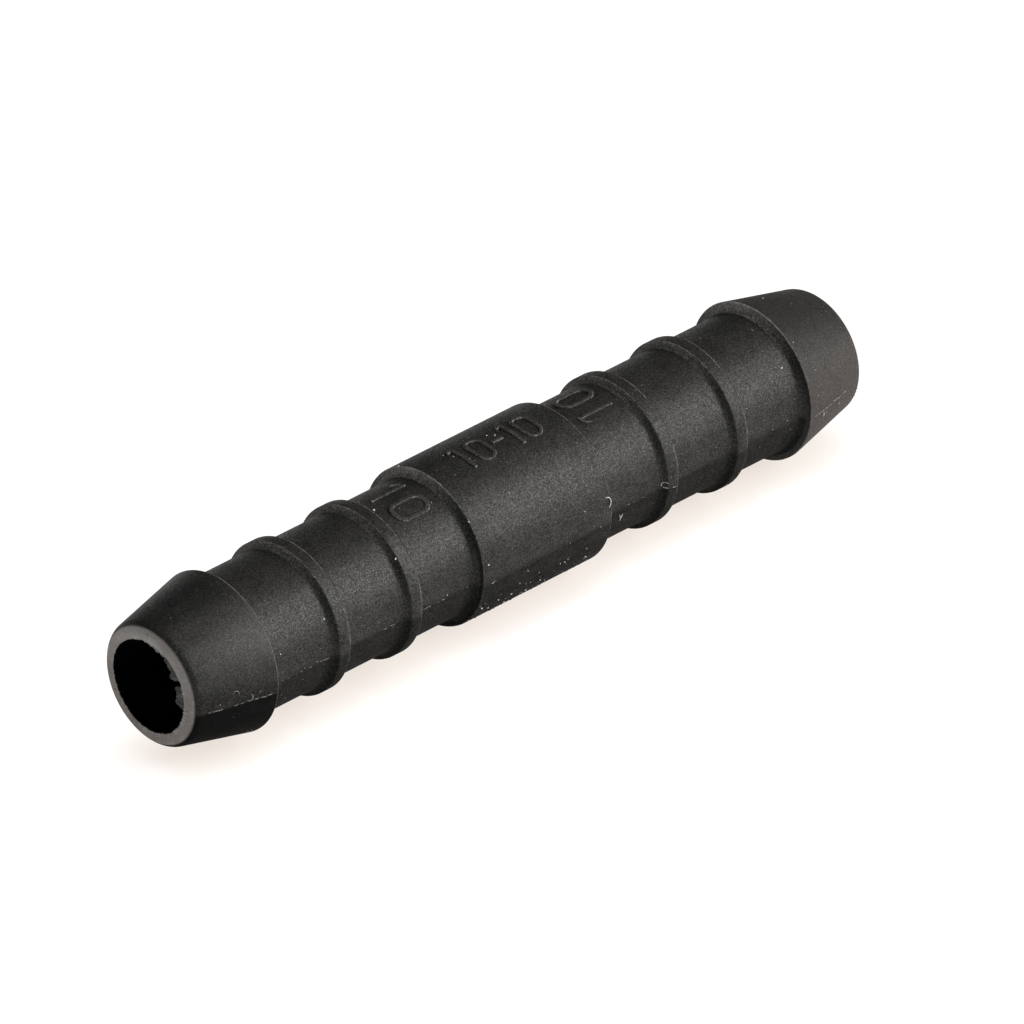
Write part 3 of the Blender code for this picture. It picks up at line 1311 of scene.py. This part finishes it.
# The white that pale numbers mix towards: pale nylon and dust, and painted highlights
PALE_AND_HIGHLIGHT_WHITE = (0.62, 0.6, 0.58, 1)
BLOTCHES = {"Scale": 900.0, "Detail": 3.0, "Roughness": 0.6}
# The side of the end face that the lamps reach first
LIT_CORNER = (0.0, 0.95, 0.3)


def nylon_colour(tree, place, where, tint, pale, painted_shade):
    blotch = node(tree, "ShaderNodeTexNoise", {}, {"Vector": place, **BLOTCHES})
    # The lower mould half is a little darker, most on the near cone, and painted shade darkens the underside
    # further
    dimmed = 1 - where.lower * (where.near_cone * 0.45 + 0.1) - where.underside_shade * 0.2
    # Painted light makes the whole far cone lighter, and the near cone is a little darker
    shade = (tint * 1.5 + blotch + where.far_cone * 0.4 - where.near_cone * 0.2) * dimmed
    colour = mix_colour(tree, (shade * 0.78).clamped(), DARK_GRAIN, LIGHT_GRAIN)
    # Painted shade: the bore and the dark scratches go near black
    colour = mix_colour(tree, painted_shade.larger(where.crisp * 0.5), colour, NEAR_BLACK)
    colour = mix_colour(tree, (where.far_cone_light * (0.5 + tint)).clamped(), colour, FAR_CONE_LIGHT)

    lit = along_direction(tree, place, LIT_CORNER) * (0.25 / TIP)
    scraped = mix_colour(tree, (tint + blotch + lit).clamped(), SCRAPED_DARK, SCRAPED_LIGHT)
    bare = (pale + 1.0).clamped() * (1 - where.in_bore)
    colour = mix_colour(tree, where.near_face * bare, colour, scraped)

    pale = pale.larger(0.0)
    paleness = pale * (1 + tint * (1 - pale) * 2.4)
    return mix_colour(tree, paleness.clamped(), colour, PALE_AND_HIGHLIGHT_WHITE)


# %% [markdown]
# The material mixes two plain shaders: a skin that mirrors a little, and a dull one. The gloss grain
# mixes them grain by grain on the upper half, and the lower half is nearly all dull. Mixing works
# better than a changing roughness here, because real grains either mirror the lamp or don't. The
# values that are the same all over are set on each shader's own sockets.

# %% Black nylon
SKIN_MIRRORS, SKIN_ROUGH = 0.5, 0.46
DULL_MIRRORS, DULL_ROUGH = 0.02, 0.8
GRAIN_DEPTH = 0.008 * MM


def how_dull(where, gloss, painted_shade):
    """1 where only the dull shader shows, and 0 where only the skin does."""
    cones = where.far_cone * 0.19 - where.near_cone * 0.09 + where.near_parting * 0.32
    upper = gloss * -1.05 + 0.55 + cones
    below = where.lower * (where.near_cone * 0.06 + 0.94) + where.underside_shade * 0.04
    return (upper.larger(below - gloss * 0.2) + painted_shade).clamped()


def nylon_material():
    material, tree, skin = new_material("black_nylon")
    dull = tree.nodes.new("ShaderNodeBsdfPrincipled")
    place = node(tree, "ShaderNodeTexCoord", output="Object")
    pale = node(tree, "ShaderNodeAttribute", {"attribute_name": "pale"}, output=2)
    where = regions(tree, place)
    gloss, tint = skin_grain(tree, place, where)
    # Painted shade: the bore, and points whose pale number is below 0
    painted_shade = where.in_bore.larger(1 - (pale + 1.0).clamped())
    colour = nylon_colour(tree, place, where, tint, pale, painted_shade)
    bump = node(tree, "ShaderNodeBump", {}, {"Height": gloss, "Strength": 1.0, "Distance": GRAIN_DEPTH})
    for shader, mirrors, rough in ((skin, SKIN_MIRRORS, SKIN_ROUGH), (dull, DULL_MIRRORS, DULL_ROUGH)):
        tree.links.new(colour.socket, shader.inputs["Base Color"])
        tree.links.new(bump.socket, shader.inputs["Normal"])
        shader.inputs["Specular IOR Level"].default_value = mirrors
        shader.inputs["Roughness"].default_value = rough
    shaders = {1: Value(tree, skin.outputs[0]), 2: Value(tree, dull.outputs[0])}
    both = node(tree, "ShaderNodeMixShader", sockets={0: how_dull(where, gloss, painted_shade), **shaders})
    tree.links.new(both.socket, tree.nodes["Material Output"].inputs["Surface"])
    print("black nylon:", len(tree.nodes), "nodes")
    return material


moulding.data.materials.clear()
moulding.data.materials.append(nylon_material())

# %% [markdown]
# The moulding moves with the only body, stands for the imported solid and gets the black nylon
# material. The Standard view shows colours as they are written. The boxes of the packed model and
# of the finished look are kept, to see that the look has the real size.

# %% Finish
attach(moulding, "root")
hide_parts("hose_joiner")
bpy.context.scene.view_settings.view_transform = "Standard"
looks_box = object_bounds()
for name, box in (("cad", cad_box), ("looks", looks_box)):
    print(name, "box", [[round(v / MM, 3) for v in corner] for corner in box], "mm")
